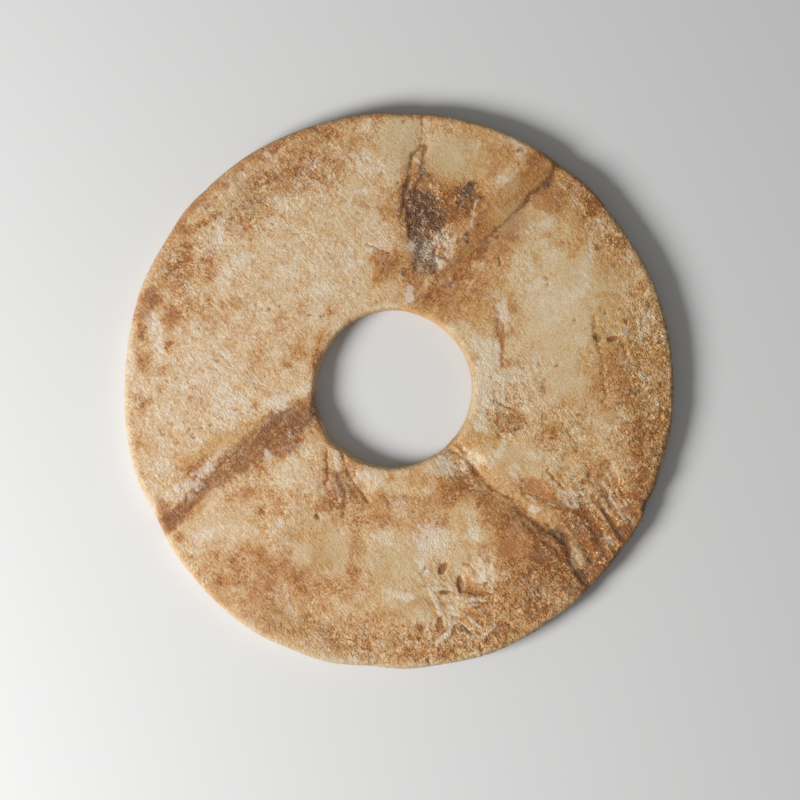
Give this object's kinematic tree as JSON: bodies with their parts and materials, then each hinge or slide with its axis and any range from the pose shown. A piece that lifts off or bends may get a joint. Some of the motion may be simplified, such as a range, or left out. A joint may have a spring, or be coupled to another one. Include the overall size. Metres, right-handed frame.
{
  "type": "jade bi disc",
  "caption": "Flat ring-shaped disc of weathered jade with a round drilled hole a little off centre, a worn and chipped rim, and natural fissures across its face.",
  "frame": {"origin": "on the underside, under the middle of the disc's bounding box", "axes": "+Z out of the upper face, the one the picture shows; +Y towards the top of the picture, +X towards its right side"},
  "size_m": [0.1784, 0.1806, 0.0072],
  "materials": {
    "altered_jade": "weathered, softly polished"
  },
  "bodies": {
    "root": {"bi_disc": "altered_jade"}
  },
  "joints": []
}
